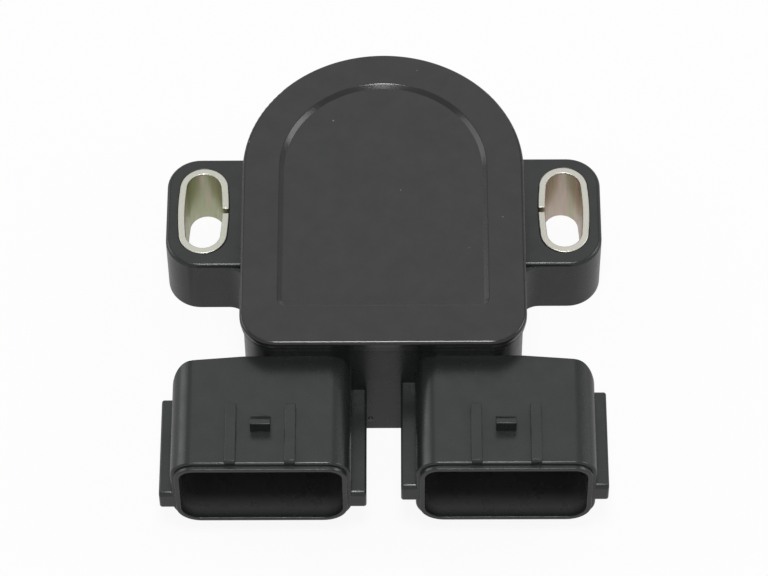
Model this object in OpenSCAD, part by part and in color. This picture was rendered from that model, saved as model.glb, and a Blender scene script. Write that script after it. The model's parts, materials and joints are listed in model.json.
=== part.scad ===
// Throttle position sensor: a potentiometer and a closed-throttle switch in one moulded body,
// with two three-way sockets and two slotted ears.
// Millimetres. The origin is on the rotor axis in the mounting face, +Z runs out of the cover,
// and the sockets open towards -Y.

/* [Body] */
// Radius of the body's round end, also half its width
body_r = 19.5; // [18.5:0.1:21]
// Distance from the rotor axis to the flat wall that carries the sockets
body_l = 29.35; // [28.5:0.05:33]
// How far that wall stands out further at its foot, between the sockets
wall_foot = 0.95; // [0.2:0.05:1.5]
// Radius of the two corners beside the flat wall
body_corner_r = 4.6; // [4:0.1:6]
// Height of the body's rim above the circuit board
rim_room = 2.1; // [1.8:0.1:3]
// Thickness of the body's floor
floor_t = 2.6; // [2:0.1:3.2]
// Thickness of the wall beside the circuit board
rim_wall = 2.1; // [1.9:0.1:2.4]
// Width of the shelf under the circuit board
shelf_w = 1; // [0.6:0.1:1.3]
// How far the flange under the cover stands out of the wall
flange_out = 0.35; // [0.1:0.05:0.6]
// Height of the flange under the cover
flange_h = 1; // [0.6:0.1:1.6]

/* [Cover] */
// How far the cover's edge stands out of the wall
cover_out = 0.5; // [0.2:0.05:0.8]
// Thickness of the cover above the seam
cover_t = 1.16; // [1:0.02:2]
// Depth of the cover's plug inside the rim
plug_h = 0.9; // [0.5:0.1:1.2]
// Radius of the cover's upper edge
cover_edge_r = 0.5; // [0.2:0.05:0.8]
// Width of the cover's band round the recess
recess_band = 5.2; // [4:0.1:7]
// Width of that band at the recess's straight end
recess_end_band = 6.2; // [5:0.1:9]
// Radius of the recess's corners
recess_corner_r = 1.3; // [1.1:0.1:3]
// Depth of the recess
recess_depth = 0.45; // [0.2:0.05:0.8]
// Width of the slope round the recess
recess_slope = 0.7; // [0.3:0.1:1]
// Width of the seal's groove
seal_w = 1; // [0.7:0.05:1.1]
// Depth of the seal's groove
seal_h = 0.8; // [0.5:0.1:1.2]

/* [Ears] */
// Distance from a slot's middle to its ear's outer end
ear_end = 5.35; // [5:0.05:7]
// Width of an ear along its slot
ear_l = 18.8; // [18:0.1:22]
// Height of the ears
ear_h = 10.8; // [8:0.1:13]
// Radius of an ear's corners
ear_corner_r = 4.8; // [3:0.1:6]
// Radius of an ear's upper edge
ear_edge_r = 0.6; // [0.3:0.05:1]
// How far the ears' middle lies towards the sockets from the rotor axis
ear_shift = 0.15; // [0:0.05:0.6]
// Radius of the fillet between an ear and the wall below it
ear_fillet_r = 3; // [1.5:0.1:4]
// Distance between the two slots
slot_spacing = 52; // [50.5:0.1:53.5]
// Width of a slot inside its bushing
slot_w = 5; // [4.6:0.1:5.6]
// Length of a slot inside its bushing
slot_l = 12.85; // [11:0.05:13.5]
// Wall of a bushing
bushing_t = 1; // [0.8:0.1:1.2]
// How far a bushing's long sides bow outwards
bushing_bow = 0.2; // [0.1:0.05:0.4]
// Width of the seam in a bushing
seam_w = 0.75; // [0.3:0.05:1.2]
// How far a bushing stands out of its ear
bushing_out = 0.1; // [0:0.05:0.4]

/* [Sockets] */
// Distance from the rotor axis to a socket's middle
sock_x = 16.9; // [16.6:0.1:18]
// Height of a socket's middle above the mounting face
sock_z = 10.28; // [9.6:0.1:11]
// Width of a socket outside
sock_w = 24.9; // [24:0.1:25.4]
// Height of a socket outside
sock_h = 14.75; // [13.5:0.05:16]
// Radius of a socket's upper corners outside
sock_top_r = 3.2; // [2.4:0.1:4.5]
// Radius of a socket's lower corners outside
sock_low_r = 4; // [3:0.1:5]
// Depth of a socket from its mouth to its floor
sock_depth = 13.4; // [12:0.1:17]
// Wall of a socket
sock_wall = 1.25; // [1:0.05:1.5]
// Height of the lip round a socket's mouth
lip_out = 0.6; // [0.3:0.05:1]
// Step between a socket's outside and its lip
lip_step = 0.55; // [0.3:0.05:0.8]
// Radius of a socket's front edge
sock_edge_r = 0.35; // [0.2:0.05:0.5]
// Thickness of the plastic behind a socket
sock_back = 4.7; // [4.1:0.1:5.2]
// Radius of a socket's back corner, seen from above
sock_back_r = 2.6; // [1.5:0.1:4]
// How much further forward a socket's back lies at its outer end
sock_back_slant = 0.8; // [0.3:0.1:1.5]

/* [Rails and locks] */
// How far a socket's outer rail stands out
outer_rail = 1.8; // [1:0.1:2.4]
// How far a socket's inner rail stands out
inner_rail = 2.05; // [1:0.05:2.2]
// Height of a rail
rail_h = 3.8; // [3:0.1:5]
// Height of the sensor socket's rails above the mounting face, to their middle
sensor_rail_z = 9.4; // [8.5:0.1:11]
// Height of the switch socket's rails above the mounting face, to their middle
switch_rail_z = 7.7; // [6.8:0.1:9]
// Distance from the body's flat wall to an outer rail's back end
rail_gap = 1.8; // [1:0.1:3]
// Radius of a rail's edges
rail_edge_r = 0.35; // [0.2:0.05:0.5]
// Distance between the middles of a socket's two lock ribs
rib_spacing = 8.2; // [7:0.1:10]
// Width of a lock rib
rib_w = 1.5; // [1:0.1:2]
// Height of a lock rib
rib_h = 0.95; // [0.6:0.05:1.2]
// Distance from a socket's mouth to a lock rib's back end
rib_back = 9.8; // [8:0.1:12]
// Width of the lock nib
nib_w = 2.8; // [2:0.1:4]
// Height of the lock nib
nib_h = 2; // [1:0.1:2.2]
// Distance from a socket's mouth to the nib's steep face
nib_back = 5.8; // [4:0.1:7]
// Length of the nib's flat top
nib_top_l = 0.8; // [0.5:0.1:2]
// Length of the nib's slope
nib_slope_l = 1.7; // [1:0.1:2]

/* [Terminals] */
// Distance between two terminals
term_pitch = 5; // [4.8:0.1:5.2]
// Width of a terminal's blade
blade_w = 2.3; // [1.8:0.1:2.6]
// Thickness of the terminal strip
term_t = 0.64; // [0.5:0.02:0.8]
// Length of a blade in front of the socket's floor
blade_l = 8.1; // [6:0.1:9.5]
// Width of a terminal inside the body
lane_w = 1.4; // [1:0.1:1.8]
// Width of the slanted run in the wall, measured across the part
slant_w = 2.2; // [1.8:0.1:2.6]
// Distance from the body's side to the outermost terminal's leg
lane_edge = 4.6; // [4.3:0.1:5.4]
// Distance from the body's flat wall to the terminals' legs
leg_edge = 6.1; // [5:0.1:7]
// How far the legs stand out of the circuit board
leg_out = 0.3; // [0.2:0.05:0.35]

/* [Rotor] */
// Radius of the pilot recess in the mounting face
pilot_r = 10; // [9.5:0.1:10.8]
// Depth of the pilot recess
pilot_depth = 2.4; // [2:0.1:2.8]
// Radius of the rotor's drive head
head_r = 6.2; // [5.8:0.1:6.4]
// Thickness of the drive head
head_t = 1.9; // [1.6:0.1:2.1]
// Width of the drive slot
drive_w = 2.4; // [2:0.1:3]
// Depth of the drive slot
drive_depth = 1.3; // [0.8:0.1:1.4]
// Radius of the rotor's shaft
shaft_r = 3.5; // [3.2:0.05:3.7]
// Distance across the flats at the shaft's inner end
flats_w = 5.2; // [4.8:0.1:5.6]
// Radius of the shaft seal
shaft_seal_r = 5.4; // [5:0.1:5.7]
// Height of the shaft seal
shaft_seal_h = 1.5; // [1.2:0.1:1.7]
// Radius of the bearing bush
bush_r = 4.6; // [4.4:0.05:5]
// Length of the bearing bush under its flange
bush_l = 5; // [4.5:0.1:5.2]
// Radius of the bush's flange
bush_flange_r = 6; // [5.6:0.1:6.6]
// Thickness of the bush's flange
bush_flange_t = 0.6; // [0.4:0.1:0.8]
// Outer radius of the boss round the bush
boss_r = 7; // [6.8:0.1:7.2]
// Turn of the rotor from its closed stop to its open stop, in degrees
rotor_turn = 95; // [85:1:100]

/* [Wiper and board] */
// Thickness of the wiper carrier's arm
arm_t = 1.7; // [1.4:0.1:2]
// Width of the wiper carrier's arm
arm_w = 5.2; // [4.6:0.1:6]
// How far the carrier's arm runs past the resistor track
arm_end = 0.8; // [0.5:0.1:1.2]
// Radius of the wiper carrier's hub
hub_r = 5.8; // [5.2:0.1:6.4]
// Height of the brushes between the arm and the circuit board
brush_h = 2.2; // [1.8:0.1:3]
// Thickness of the circuit board
board_t = 1; // [0.8:0.05:1.1]
// Distance from the body's side to the resistor track's middle
track_edge = 6.4; // [5.6:0.1:7]
// Distance between the middles of two tracks
track_pitch = 2.2; // [2:0.1:2.5]
// Width of a track
track_w = 1.4; // [1:0.1:1.6]
// Thickness of the printed tracks
track_t = 0.1; // [0.05:0.01:0.15]
// Width of a brush finger
finger_w = 0.8; // [0.6:0.1:1]
// Radius of a solder joint on the board
solder_r = 1.3; // [1.1:0.05:1.5]
// Height of a solder joint
solder_h = 0.4; // [0.3:0.05:0.6]

/* [Return spring] */
// Wire thickness of the return spring
wire_d = 0.7; // [0.6:0.05:0.75]
// Gap between the boss and the return spring's coil
coil_room = 0.55; // [0.4:0.05:0.8]
// Turns of the return spring
coil_turns = 3.75; // [2.75:0.25:4]
// Rise of the return spring in one turn
coil_pitch = 0.85; // [0.8:0.01:0.88]
// How far outside the coil's middle the pegs stand that hold the spring's legs
peg_out = 2.1; // [1.8:0.1:2.5]
// Radius of those pegs
peg_r = 0.8; // [0.6:0.05:0.9]

/* [Clearances] */
// Gap round a piece that is moulded or pressed in
fit_gap = 0.02; // [0.01:0.01:0.04]
// Radial gap of the turning shaft
run_gap = 0.05; // [0.02:0.01:0.08]
// Gap between pieces that lie loosely together
seat_gap = 0.1; // [0.05:0.05:0.15]
// End gap of the rotor and of the stops
end_gap = 0.25; // [0.15:0.05:0.3]

/* [Hidden] */
$fn = 96;

plastic = [0.25, 0.26, 0.27];
cut = 0.5; // how far a cutting shape runs past the face that it cuts

// Heights of the rotor's stack, from the mounting face upwards
head_z = pilot_depth + end_gap;
head_top = head_z + head_t;
seal_z = head_top + end_gap;
bush_z = seal_z + shaft_seal_h + seat_gap;
boss_top = bush_z + bush_l;
flange_top = boss_top + bush_flange_t;
washer_t = 0.4;
ring_t = 0.5;
ring_groove_r = shaft_r - 0.65;
ring_z = flange_top + washer_t;
ring_groove_t = ring_t + 0.1;
ring_out_r = shaft_r + 1.3;
hub_z = ring_z + ring_groove_t + end_gap;
arm_z = hub_z + 0.25;
arm_top = arm_z + arm_t;
board_z = arm_top + brush_h;
body_h = board_z + board_t + rim_room;
shaft_top = arm_top + 0.4;
flats_z = ring_z + ring_groove_t;

// Steps of the floor round the rotor
pilot_step_r = pilot_r + floor_t;
pilot_step_h = pilot_depth + floor_t;
collar_r = boss_r + 2;
collar_h = bush_z + 0.4;

// Chamber outlines
board_in = rim_wall + seat_gap;
chamber_in = rim_wall + shelf_w;

// Rotor travel: the arm swings evenly about +Y
arm_rest = 90 - rotor_turn / 2;
track_margin = 7;

// Radii of the tracks, and the arm's reach under them
resistor_r = body_r - track_edge;
collector_r = resistor_r - track_pitch;
switch_r = collector_r - track_pitch;
arm_l = resistor_r + track_w / 2 + arm_end;

// Spring legs lie against the outer side of their pegs
coil_r = boss_r + coil_room + wire_d / 2;
peg_circle_r = coil_r + peg_out;
leg_offset = wire_d / 2 + peg_r + seat_gap;
leg_lead = acos((coil_r + leg_offset) / peg_circle_r);
leg_l = peg_circle_r * sin(leg_lead) + 1.2;
coil_end = arm_rest - leg_lead;
coil_start = coil_end - 360 * coil_turns;
coil_z = collar_h + end_gap + wire_d / 2;
coil_top_z = coil_z + coil_pitch * coil_turns;
coil_steps = 24; // rings in one turn of the spring
coil_sides = 8; // flats round its wire

// Outlines of the recess and the ears
recess_r = body_r + cover_out - recess_band;
recess_l = body_l + cover_out - recess_end_band;
ear_span = slot_spacing + 2 * ear_end;

// Floor and mouth of a socket, and what is placed from them
sock_floor = body_l + sock_back;
sock_mouth = sock_floor + sock_depth;
sock_front = sock_mouth - lip_out;
rail_start = body_l + rail_gap;
rib_start = sock_mouth - rib_back;
nib_face = sock_mouth - nib_back;

// Height where the wall between the sockets starts to slope out
foot_top = body_h - flange_h;

// Mark that the mould's gate leaves on that wall
gate_x = 1.9;
gate_z = 2.4;
gate_r = 0.4;
gate_out = 0.15;
gate_y = body_l + wall_foot * (1 - gate_z / foot_top) + gate_out;

// Terminal route in plan
term_z = sock_z - term_t / 2 - 0.3;
slant_start = sock_floor - 0.2;
slant_end = body_l - 1.1;
blade_tip = sock_floor + blade_l;
leg_y = body_l - leg_edge;

// Quarter of a disc in the first quadrant
module quarter(r) {
    intersection() {
        circle(r = r);
        square(r + cut);
    }
}

// Rectangle about the origin with round corners, whose lower two may have a radius of their own
module rounded_rect(w, l, r, low = undef) {
    radii = corner_radii(r, low);
    polygon([for (turn = [0 : 3]) each turned_corner(w, l, turn, radii[turn])]);
    for (turn = [0 : 3]) {
        across = turn % 2 == 0 ? w : l;
        along = turn % 2 == 0 ? l : w;
        rotate(90 * turn) translate([across / 2 - radii[turn], along / 2 - radii[turn]])
            quarter(radii[turn]);
    }
}

// Radii of a rectangle's corners, counted anticlockwise from the upper right one
function corner_radii(r, low) = let (bottom = is_undef(low) ? r : low) [r, r, bottom, bottom];

// Where the straight sides end at a corner, and the corner's centre between them
function turned_corner(w, l, turn, r) =
    let (
        across = (turn % 2 == 0 ? w : l) / 2,
        along = (turn % 2 == 0 ? l : w) / 2,
        points = [[across, along - r], [across - r, along - r], [across - r, along]]
    ) [for (point = points) [
        point[0] * cos(90 * turn) - point[1] * sin(90 * turn),
        point[0] * sin(90 * turn) + point[1] * cos(90 * turn)
    ]];

// Outline of the body: a half disc of radius r, straight sides down to y = -l, two round corners
module d_shape(r, l, corner) {
    for (side = [0, 1]) {
        mirror([side, 0]) {
            quarter(r);
            translate([0, corner - l]) square([r, l - corner]);
            translate([0, -l]) square([r - corner, corner]);
            translate([r - corner, corner - l]) rotate(-90) quarter(corner);
        }
    }
}

// Straight run of a section towards -Y: the section's x points outwards and its y upwards
module run(length) {
    rotate([90, 0, 0]) linear_extrude(length) children();
}

// Runs a section round the body's outline
module sweep_d(r, l, corner) {
    rotate_extrude(angle = 180) translate([r, 0]) children();
    for (side = [0, 1]) {
        mirror([side, 0, 0]) {
            translate([r, 0, 0]) run(l - corner) children();
            translate([r - corner, corner - l, 0]) rotate(-90)
                rotate_extrude(angle = 90) translate([corner, 0]) children();
        }
    }
    translate([r - corner, -l, 0]) rotate(-90) run(2 * (r - corner)) children();
}

// Runs a section round a rectangle with round corners
module sweep_rect(w, l, r, low = undef) {
    radii = corner_radii(r, low);
    for (turn = [0 : 3]) {
        across = turn % 2 == 0 ? w : l;
        along = turn % 2 == 0 ? l : w;
        here = radii[turn];
        before = radii[(turn + 3) % 4];
        rotate(90 * turn) {
            translate([across / 2, along / 2 - here, 0]) run(along - here - before) children();
            translate([across / 2 - here, along / 2 - here, 0])
                rotate_extrude(angle = 90) translate([here, 0]) children();
        }
    }
}

// Section that rounds an edge at the origin to radius r
module edge_section(r) {
    difference() {
        translate([-r, -r]) square(r + cut);
        translate([-r, -r]) circle(r = r);
    }
}

// Oval with bowed long sides, along Y
module oval(w, l, bow) {
    half = (l - w) / 2;
    sweep_r = (half * half + bow * bow) / (2 * bow);
    for (side = [-1, 1]) translate([0, side * half]) rotate(side * 90) {
        intersection() {
            circle(r = w / 2);
            translate([0, -w]) square(2 * w);
        }
    }
    intersection() {
        square([w + 4 * bow, 2 * half], center = true);
        translate([w / 2 + bow - sweep_r, 0]) circle(r = sweep_r, $fn = 360);
        translate([sweep_r - w / 2 - bow, 0]) circle(r = sweep_r, $fn = 360);
    }
}

// Places a socket's own frame: x across, y up, z out of the mouth
module at_socket(side) {
    translate([side * sock_x, 0, sock_z]) rotate([90, 0, 0]) mirror([side < 0 ? 1 : 0, 0, 0])
        children();
}

// The two ears, one bar through the body
module ears() {
    low = ear_l / 2 + ear_shift;
    translate([0, -ear_shift, 0]) difference() {
        linear_extrude(ear_h) rounded_rect(ear_span, ear_l, ear_corner_r);
        translate([0, 0, ear_h]) sweep_rect(ear_span, ear_l, ear_corner_r) edge_section(ear_edge_r);
    }
    linear_extrude(ear_h - ear_edge_r) {
        for (side = [0, 1]) mirror([side, 0]) translate([body_r, -low]) difference() {
            translate([-cut, -ear_fillet_r]) square([ear_fillet_r + cut, ear_fillet_r + cut]);
            translate([ear_fillet_r, -ear_fillet_r]) circle(r = ear_fillet_r);
        }
    }
}

// Plan of what is cut away behind a socket: the slanted back and the outer corner, in short flats
module socket_back_plan() {
    inner = body_r - sock_x;
    outer = sock_w / 2;
    back = body_l - 0.05;
    slant = atan(sock_back_slant / (outer - inner));
    round_x = outer - sock_back_r;
    round_z = back + (round_x - inner) * tan(slant) + sock_back_r / cos(slant);
    flats = 10;
    polygon(concat(
        [[-outer - cut, -cut], [outer + cut, -cut], [outer + cut, round_z]],
        [for (flat = [0 : flats])
            let (angle = (slant - 90) * flat / flats)
                [round_x + sock_back_r * cos(angle), round_z + sock_back_r * sin(angle)]],
        [[inner, back], [-outer - cut, back]]
    ));
}

// One side rail of a socket: a bar with round edges
module rail(out, start, height) {
    base = sock_w / 2;
    length = sock_front - start;
    corner = 2 * rail_edge_r;
    translate([0, height - sock_z, start]) rotate([0, 90, 0]) translate([-length / 2, 0, base - 1]) {
        difference() {
            linear_extrude(out + 1) rounded_rect(length, rail_h, corner);
            translate([0, 0, out + 1]) sweep_rect(length, rail_h, corner) edge_section(rail_edge_r);
        }
    }
}

// The lock on a socket's upper side: two ribs with a nib between them
module lock() {
    top = sock_h / 2;
    for (side = [-1, 1]) translate([side * rib_spacing / 2 - rib_w / 2, top - 1, rib_start]) {
        cube([rib_w, rib_h + 1, sock_front - rib_start]);
    }
    translate([nib_w / 2, top, 0]) rotate([0, -90, 0]) linear_extrude(nib_w) polygon([
        [nib_face, -1], [nib_face, nib_h], [nib_face - nib_top_l, nib_h],
        [nib_face - nib_top_l - nib_slope_l, 0], [nib_face - nib_top_l - nib_slope_l, -1]
    ]);
}

// One socket, solid inside, in its own frame
module socket_body(rail_z) {
    difference() {
        linear_extrude(sock_front) rounded_rect(sock_w, sock_h, sock_top_r, sock_low_r);
        translate([0, 0, sock_front]) sweep_rect(sock_w, sock_h, sock_top_r, sock_low_r)
            edge_section(sock_edge_r);
        translate([0, sock_h, 0]) rotate([90, 0, 0]) linear_extrude(2 * sock_h) socket_back_plan();
    }
    translate([0, 0, sock_floor]) linear_extrude(sock_depth) rounded_rect(
        sock_w - 2 * lip_step, sock_h - 2 * lip_step, sock_top_r - lip_step, sock_low_r - lip_step);
    rail(outer_rail, rail_start, rail_z);
    mirror([1, 0, 0]) rail(inner_rail, body_l - 1, rail_z);
    lock();
}

// The hollow of a socket
module socket_hollow() {
    translate([0, 0, sock_floor]) linear_extrude(sock_depth + cut) rounded_rect(
        sock_w - 2 * sock_wall, sock_h - 2 * sock_wall, sock_top_r - sock_wall, sock_low_r - sock_wall);
}

// The slope of the wall between the sockets
module sloped_wall() {
    reach = sock_x - sock_w / 2 + 1;
    translate([-reach, 0, 0]) rotate([90, 0, 90]) linear_extrude(2 * reach) polygon([
        [1 - body_l, 0], [1 - body_l, foot_top], [-body_l, foot_top], [-body_l - wall_foot, 0]
    ]);
}

// A stop face for the wiper carrier's arm, on the side that the arm comes from or goes to
module stop_rib(angle, side) {
    rib_t = 1.6;
    reach = body_r - chamber_in + cut;
    start = peg_circle_r + 2 * peg_r;
    rotate(angle) translate([start, side * (arm_w / 2 + seat_gap + rib_t / 2) - rib_t / 2, 0])
        cube([reach - start, rib_t, arm_top]);
}

module housing() color(plastic) {
    difference() {
        union() {
            difference() {
                union() {
                    linear_extrude(body_h) d_shape(body_r, body_l, body_corner_r);
                    translate([0, 0, body_h - flange_h]) linear_extrude(flange_h)
                        d_shape(body_r + flange_out, body_l + flange_out, body_corner_r + flange_out);
                    ears();
                    sloped_wall();
                    at_socket(-1) socket_body(switch_rail_z);
                    at_socket(1) socket_body(sensor_rail_z);
                }
                translate([0, 0, floor_t]) linear_extrude(body_h) d_shape(
                    body_r - chamber_in, body_l - chamber_in, body_corner_r - chamber_in);
                translate([0, 0, board_z]) linear_extrude(body_h) d_shape(
                    body_r - rim_wall, body_l - rim_wall, body_corner_r - rim_wall);
                translate([0, 0, body_h]) sweep_d(body_r, body_l, body_corner_r)
                    translate([-(rim_wall + seal_w) / 2, -seal_h]) square([seal_w, seal_h + cut]);
            }
            cylinder(r = pilot_step_r, h = pilot_step_h);
            cylinder(r = collar_r, h = collar_h);
            cylinder(r = boss_r, h = boss_top);
            rotate(coil_start - leg_lead) translate([peg_circle_r, 0, 0])
                cylinder(r = peg_r, h = coil_z + wire_d);
            intersection() {
                union() {
                    stop_rib(arm_rest, -1);
                    stop_rib(arm_rest + rotor_turn, 1);
                }
                linear_extrude(body_h) d_shape(body_r, body_l, body_corner_r);
            }
            translate([-gate_x, -gate_y, gate_z]) rotate([-90, 0, 0])
                cylinder(r = gate_r, h = 2 * gate_out);
        }
        translate([0, 0, -cut]) cylinder(r = pilot_r, h = pilot_depth + cut);
        cylinder(r = head_r + 2 * end_gap, h = seal_z);
        cylinder(r = shaft_seal_r, h = bush_z - seat_gap);
        cylinder(r = bush_r, h = boss_top + cut);
        for (side = [-1, 1]) {
            at_socket(side) socket_hollow();
            translate([side * slot_spacing / 2, 0, -cut]) linear_extrude(ear_h + 2 * cut)
                oval(slot_w + 2 * (bushing_t + fit_gap), slot_l + 2 * (bushing_t + fit_gap), bushing_bow);
            for (way = [1 : 3]) terminal(side, way, fit_gap);
        }
    }
}

module cover() color(plastic) {
    r = body_r + cover_out;
    l = body_l + cover_out;
    corner = body_corner_r + cover_out;
    top = body_h + cover_t;
    difference() {
        union() {
            translate([0, 0, body_h]) linear_extrude(cover_t) d_shape(r, l, corner);
            translate([0, 0, body_h - plug_h]) linear_extrude(plug_h) d_shape(
                body_r - board_in, body_l - board_in, body_corner_r - board_in);
        }
        translate([0, 0, top]) sweep_d(r, l, corner) edge_section(cover_edge_r);
        translate([0, 0, top - recess_depth]) linear_extrude(recess_depth + cut) d_shape(
            recess_r - recess_slope, recess_l - recess_slope, recess_corner_r - recess_slope);
        translate([0, 0, top]) sweep_d(recess_r, recess_l, recess_corner_r) polygon([
            [-recess_slope, -recess_depth], [0, 0], [0, cut], [-recess_slope, cut]
        ]);
    }
}

module cover_seal() color("dimgray") {
    translate([0, 0, body_h]) sweep_d(body_r, body_l, body_corner_r)
        translate([-(rim_wall + seal_w) / 2 + fit_gap, fit_gap - seal_h])
            square([seal_w - 2 * fit_gap, seal_h - fit_gap]);
}

// A rolled steel bushing; its seam faces the body
module bushing(side) {
    translate([side * slot_spacing / 2, 0, 0]) linear_extrude(ear_h + bushing_out) difference() {
        oval(slot_w + 2 * bushing_t, slot_l + 2 * bushing_t, bushing_bow);
        oval(slot_w, slot_l, bushing_bow);
        translate([-side * slot_w, 0]) square([2 * slot_w, seam_w], center = true);
    }
}

module bushing_left() color("lightgray") bushing(-1);

module bushing_right() color("lightgray") bushing(1);

module rotor_shaft() color("silver") {
    difference() {
        union() {
            translate([0, 0, head_z]) cylinder(r = head_r, h = head_t);
            translate([0, 0, head_top]) cylinder(r = shaft_r, h = ring_z - head_top);
            translate([0, 0, ring_z]) cylinder(r = ring_groove_r, h = ring_groove_t);
            translate([0, 0, flats_z]) linear_extrude(shaft_top - flats_z) shaft_flats(0);
        }
        translate([0, 0, head_z]) cube([2 * head_r + cut, drive_w, 2 * drive_depth], center = true);
    }
}

// Section of the shaft where the wiper carrier sits
module shaft_flats(gap) {
    intersection() {
        circle(r = shaft_r + gap);
        square([flats_w + 2 * gap, 4 * shaft_r], center = true);
    }
}

// Rubber seal with a groove between its two lips
module shaft_seal() color("darkslategray") {
    bore = shaft_r + run_gap;
    third = shaft_seal_h / 3;
    translate([0, 0, seal_z]) rotate_extrude() polygon([
        [bore, 0], [shaft_seal_r - fit_gap, 0], [shaft_seal_r - fit_gap, shaft_seal_h],
        [bore, shaft_seal_h], [bore, 2 * third], [bore + third, 1.5 * third], [bore, third]
    ]);
}

module rotor_bearing() color("goldenrod") {
    difference() {
        union() {
            translate([0, 0, bush_z]) cylinder(r = bush_r - fit_gap, h = bush_l);
            translate([0, 0, boss_top]) cylinder(r = bush_flange_r, h = bush_flange_t);
        }
        translate([0, 0, bush_z - cut]) cylinder(r = shaft_r + run_gap, h = bush_l + bush_flange_t + 2 * cut);
    }
}

module thrust_washer() color("silver") {
    translate([0, 0, flange_top]) difference() {
        cylinder(r = bush_flange_r - 0.3, h = washer_t - run_gap);
        translate([0, 0, -cut]) cylinder(r = shaft_r + run_gap, h = washer_t + 2 * cut);
    }
}

// Ring clipped into the shaft's groove
module retaining_ring() color("dimgray") {
    translate([0, 0, ring_z + fit_gap]) linear_extrude(ring_t) difference() {
        circle(r = ring_out_r);
        circle(r = ring_groove_r + fit_gap);
        translate([0, -ring_out_r]) square([1.5 * ring_groove_r, 2 * ring_out_r], center = true);
    }
}

// Centre line of the return spring's coil, and the ring of wire round one of its points
function coil_point(turn) = [
    coil_r * cos(coil_start + 360 * turn), coil_r * sin(coil_start + 360 * turn),
    coil_z + coil_pitch * turn
];
function wire_ring(centre, angle) = [
    for (side = [0 : coil_sides - 1])
        let (out = wire_d / 2 * cos(360 * side / coil_sides), up = wire_d / 2 * sin(360 * side / coil_sides))
            centre + [out * cos(angle), out * sin(angle), up]
];

// A straight leg, the coil and a straight leg
module return_spring() color("silver") {
    last = coil_turns * coil_steps;
    first_leg = coil_point(0) + leg_l * [sin(coil_start), -cos(coil_start), 0];
    last_leg = coil_point(coil_turns) + leg_l * [-sin(coil_end), cos(coil_end), 0];
    rings = concat(
        [wire_ring(first_leg, coil_start)],
        [for (step = [0 : last]) wire_ring(coil_point(step / coil_steps), coil_start + 360 * step / coil_steps)],
        [wire_ring(last_leg, coil_end)]
    );
    count = len(rings);
    polyhedron(
        points = [for (ring = rings) each ring],
        faces = concat(
            [[for (side = [0 : coil_sides - 1]) coil_sides - 1 - side]],
            [for (ring = [0 : count - 2], side = [0 : coil_sides - 1], half = [0, 1])
                let (here = ring * coil_sides, there = here + coil_sides, next = (side + 1) % coil_sides)
                    half == 0 ? [here + side, here + next, there + side]
                              : [there + side, here + next, there + next]],
            [[for (side = [0 : coil_sides - 1]) (count - 1) * coil_sides + side]]
        )
    );
}

// Moulded arm on the shaft's flats, with a peg below for the spring
module wiper_carrier() color("ivory") {
    difference() {
        union() {
            translate([0, 0, hub_z]) cylinder(r = hub_r, h = arm_top - hub_z);
            rotate(arm_rest) {
                translate([0, -arm_w / 2, arm_z]) cube([arm_l, arm_w, arm_t]);
                translate([peg_circle_r, 0, coil_top_z - wire_d]) cylinder(r = peg_r, h = arm_z - coil_top_z + wire_d);
            }
        }
        translate([0, 0, hub_z - cut]) linear_extrude(arm_top) shaft_flats(fit_gap);
    }
}

// A brush finger on the arm: it rises from the rear edge and bends over under its track
module finger(r) {
    leaf = 0.2;
    rise = board_z - track_t - run_gap - arm_top;
    half = arm_w / 2 - 0.4;
    rotate(arm_rest) translate([r - finger_w / 2, 0, arm_top]) rotate([90, 0, 90]) linear_extrude(finger_w)
        polygon([
            [-half, 0], [half - 1, 0], [half - 1, leaf], [leaf - half, leaf], [half - 1.4, rise - leaf],
            [half - 0.3, rise - 0.5], [half - 0.2, rise - 0.3], [half - 1.3, rise], [half - 1.6, rise], [-half, leaf]
        ]);
}

// Leaf plate that joins the fingers of a brush
module brush_plate(inner, outer) {
    rotate(arm_rest) translate([inner - finger_w, 0.4 - arm_w / 2, arm_top])
        cube([outer - inner + 2 * finger_w, 1, 0.2]);
}

module sensor_brush() color("gold") {
    finger(resistor_r);
    finger(collector_r);
    brush_plate(collector_r, resistor_r);
}

module switch_brush() color("gold") {
    finger(switch_r);
    brush_plate(switch_r, switch_r);
}

module resistor_board() color("seagreen") {
    translate([0, 0, board_z]) linear_extrude(board_t) difference() {
        d_shape(body_r - board_in, body_l - board_in, body_corner_r - board_in);
        for (side = [-1, 1], way = [1 : 3]) translate([side * lane_x(way), -leg_y])
            square([lane_w + 2 * seat_gap, term_t + 2 * seat_gap], center = true);
    }
}

// Printed track on the board's underside, from one angle to another
module track(r, from, to) {
    translate([0, 0, board_z - track_t]) rotate(from)
        rotate_extrude(angle = to - from) translate([r - track_w / 2, 0]) square([track_w, track_t]);
}

module resistor_track() color([0.1, 0.1, 0.12]) {
    track(resistor_r, arm_rest - track_margin, arm_rest + rotor_turn + track_margin);
}

module collector_track() color("silver") {
    track(collector_r, arm_rest - track_margin, arm_rest + rotor_turn + track_margin);
}

// The switch closes only on the short piece of track under the closed stop
module switch_track() color("silver") {
    track(switch_r, arm_rest - track_margin, arm_rest + track_margin);
}

function blade_x(way) = sock_x + (way - 2) * term_pitch;
function lane_x(way) = body_r - lane_edge - (3 - way) * term_pitch;

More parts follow.
